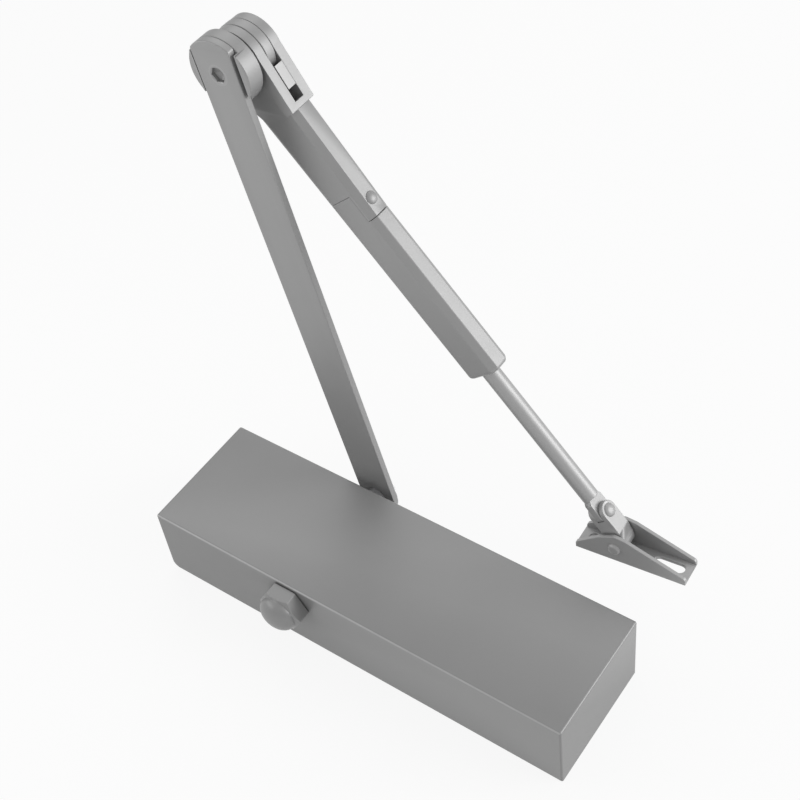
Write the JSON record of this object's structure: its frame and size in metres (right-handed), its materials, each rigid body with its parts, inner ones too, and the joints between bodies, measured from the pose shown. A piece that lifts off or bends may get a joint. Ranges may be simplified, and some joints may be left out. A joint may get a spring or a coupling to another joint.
{
  "type": "hydraulic door closer",
  "caption": "Surface-mounted hydraulic door closer: a long box cover over a rack-and-pinion cylinder, with a folding hold-open arm, adjustable rod and slotted shoe.",
  "frame": {"origin": "centre of the four mounting holes, on the back face that lies against the door", "axes": "+Z out of the door face, +X along the cover towards its spring end, +Y along the spindle from the cap nut to the arm"},
  "size_m": [0.3284, 0.1569, 0.3834],
  "materials": {
    "cover_paint": "satin grey enamel on sheet metal",
    "arm_paint": "satin grey enamel on forged steel",
    "nut_paint": "satin grey enamel",
    "rod_paint": "satin grey enamel",
    "cast_iron": "sand cast, machined bores",
    "steel": "machined",
    "spring_steel": "oiled",
    "bronze": "sintered",
    "valve_brass": "turned",
    "gland_metal": "turned",
    "rubber": "matt black",
    "ring_plastic": "plain"
  },
  "bodies": {
    "closer_body": {"cover": "cover_paint", "body_casting": "cast_iron", "bearing_cap_side": "bronze", "bearing_arm_side": "bronze", "seal_cap_side": "rubber", "seal_arm_side": "rubber", "gland_cap_side": "gland_metal", "gland_arm_side": "gland_metal", "closing_spring": "spring_steel", "end_plug_spring_side": "steel", "end_plug_spindle_side": "steel", "plug_ring_spring_side": "rubber", "plug_ring_spindle_side": "rubber"},
    "spindle_set": {"spindle": "steel", "cap_nut": "nut_paint", "main_arm": "arm_paint", "arm_washer": "steel", "arm_screw": "steel", "hold_open_disc": "arm_paint", "elbow_pin": "arm_paint", "elbow_washer": "steel", "detent_cam": "arm_paint", "elbow_nut": "arm_paint"},
    "piston_set": {"piston": "steel", "piston_ring": "ring_plastic"},
    "adjuster": {"power_adjuster": "steel"},
    "seat": {"spring_seat": "steel"},
    "latch": {"latch_valve": "valve_brass"},
    "sweep": {"sweep_valve": "valve_brass"},
    "backcheck": {"backcheck_valve": "valve_brass"},
    "forearm": {"forearm_fork": "arm_paint", "detent_spring": "spring_steel", "lap_screw": "arm_paint", "forearm_sleeve": "arm_paint", "rod_clamp_screw": "steel"},
    "pawl": {"detent_pawl": "arm_paint"},
    "rod": {"forearm_rod": "rod_paint"},
    "link": {"shoe_link": "rod_paint", "link_rivet": "rod_paint"},
    "shoe_set": {"shoe": "rod_paint", "shoe_pin": "rod_paint"}
  },
  "joints": [
    {"name": "spindle_turn", "type": "hinge", "parent": "closer_body", "child": "spindle_set", "pos_m": [-0.046, 0, 0.04], "axis": [0, -1, 0], "range_deg": [0, 100], "stiffness_Nm_per_rad": 4, "springref_deg": -57.3},
    {"name": "piston_slide", "type": "slide", "parent": "closer_body", "child": "piston_set", "axis": [1, 0, 0], "range_m": [0, 0.0175], "deforming": ["closing_spring"]},
    {"name": "power_adjuster_turn", "type": "hinge", "parent": "closer_body", "child": "adjuster", "pos_m": [0.14, 0, 0.03], "axis": [1, 0, 0], "range_deg": [0, 1820]},
    {"name": "spring_seat_slide", "type": "slide", "parent": "closer_body", "child": "seat", "axis": [-1, 0, 0], "range_m": [0, 0.0075]},
    {"name": "latch_turn", "type": "hinge", "parent": "closer_body", "child": "latch", "pos_m": [-0.11, -0.0244, 0.0065], "axis": [0, -1, 0], "range_deg": [-180, 360]},
    {"name": "sweep_turn", "type": "hinge", "parent": "closer_body", "child": "sweep", "pos_m": [-0.094, -0.0244, 0.0065], "axis": [0, -1, 0], "range_deg": [-180, 360]},
    {"name": "backcheck_turn", "type": "hinge", "parent": "closer_body", "child": "backcheck", "pos_m": [-0.006, -0.0244, 0.0065], "axis": [0, -1, 0], "range_deg": [-180, 360]},
    {"name": "elbow_turn", "type": "hinge", "parent": "spindle_set", "child": "forearm", "pos_m": [-0.10634, 0.0776, 0.3624], "axis": [0, 1, 0], "range_deg": [-140, 30]},
    {"name": "pawl_slide", "type": "slide", "parent": "forearm", "child": "pawl", "axis": [0.6593, 0, -0.7518], "range_m": [0, 0.0015], "stiffness_N_per_m": 4000, "springref_m": -0.002, "deforming": ["detent_spring"]},
    {"name": "rod_slide", "type": "slide", "parent": "forearm", "child": "rod", "axis": [0.6593, 0, -0.7518], "range_m": [-0.015, 0.015]},
    {"name": "link_swivel", "type": "hinge", "parent": "rod", "child": "link", "pos_m": [0.11275, 0.0776, 0.10045], "axis": [0.7485, 0.0941, 0.6564], "range_deg": [-15, 15]},
    {"name": "shoe_turn", "type": "hinge", "parent": "link", "child": "shoe_set", "pos_m": [0.12576, 0.07741, 0.0826], "axis": [-0.0708, 0.9956, -0.062], "range_deg": [-35, 35]}
  ],
  "couplings": [
    {"joint": "piston_slide", "follows": "spindle_turn", "m_per_rad": 0.01},
    {"joint": "power_adjuster_turn", "follows": "spring_seat_slide", "rad_per_m": 4188.8}
  ]
}
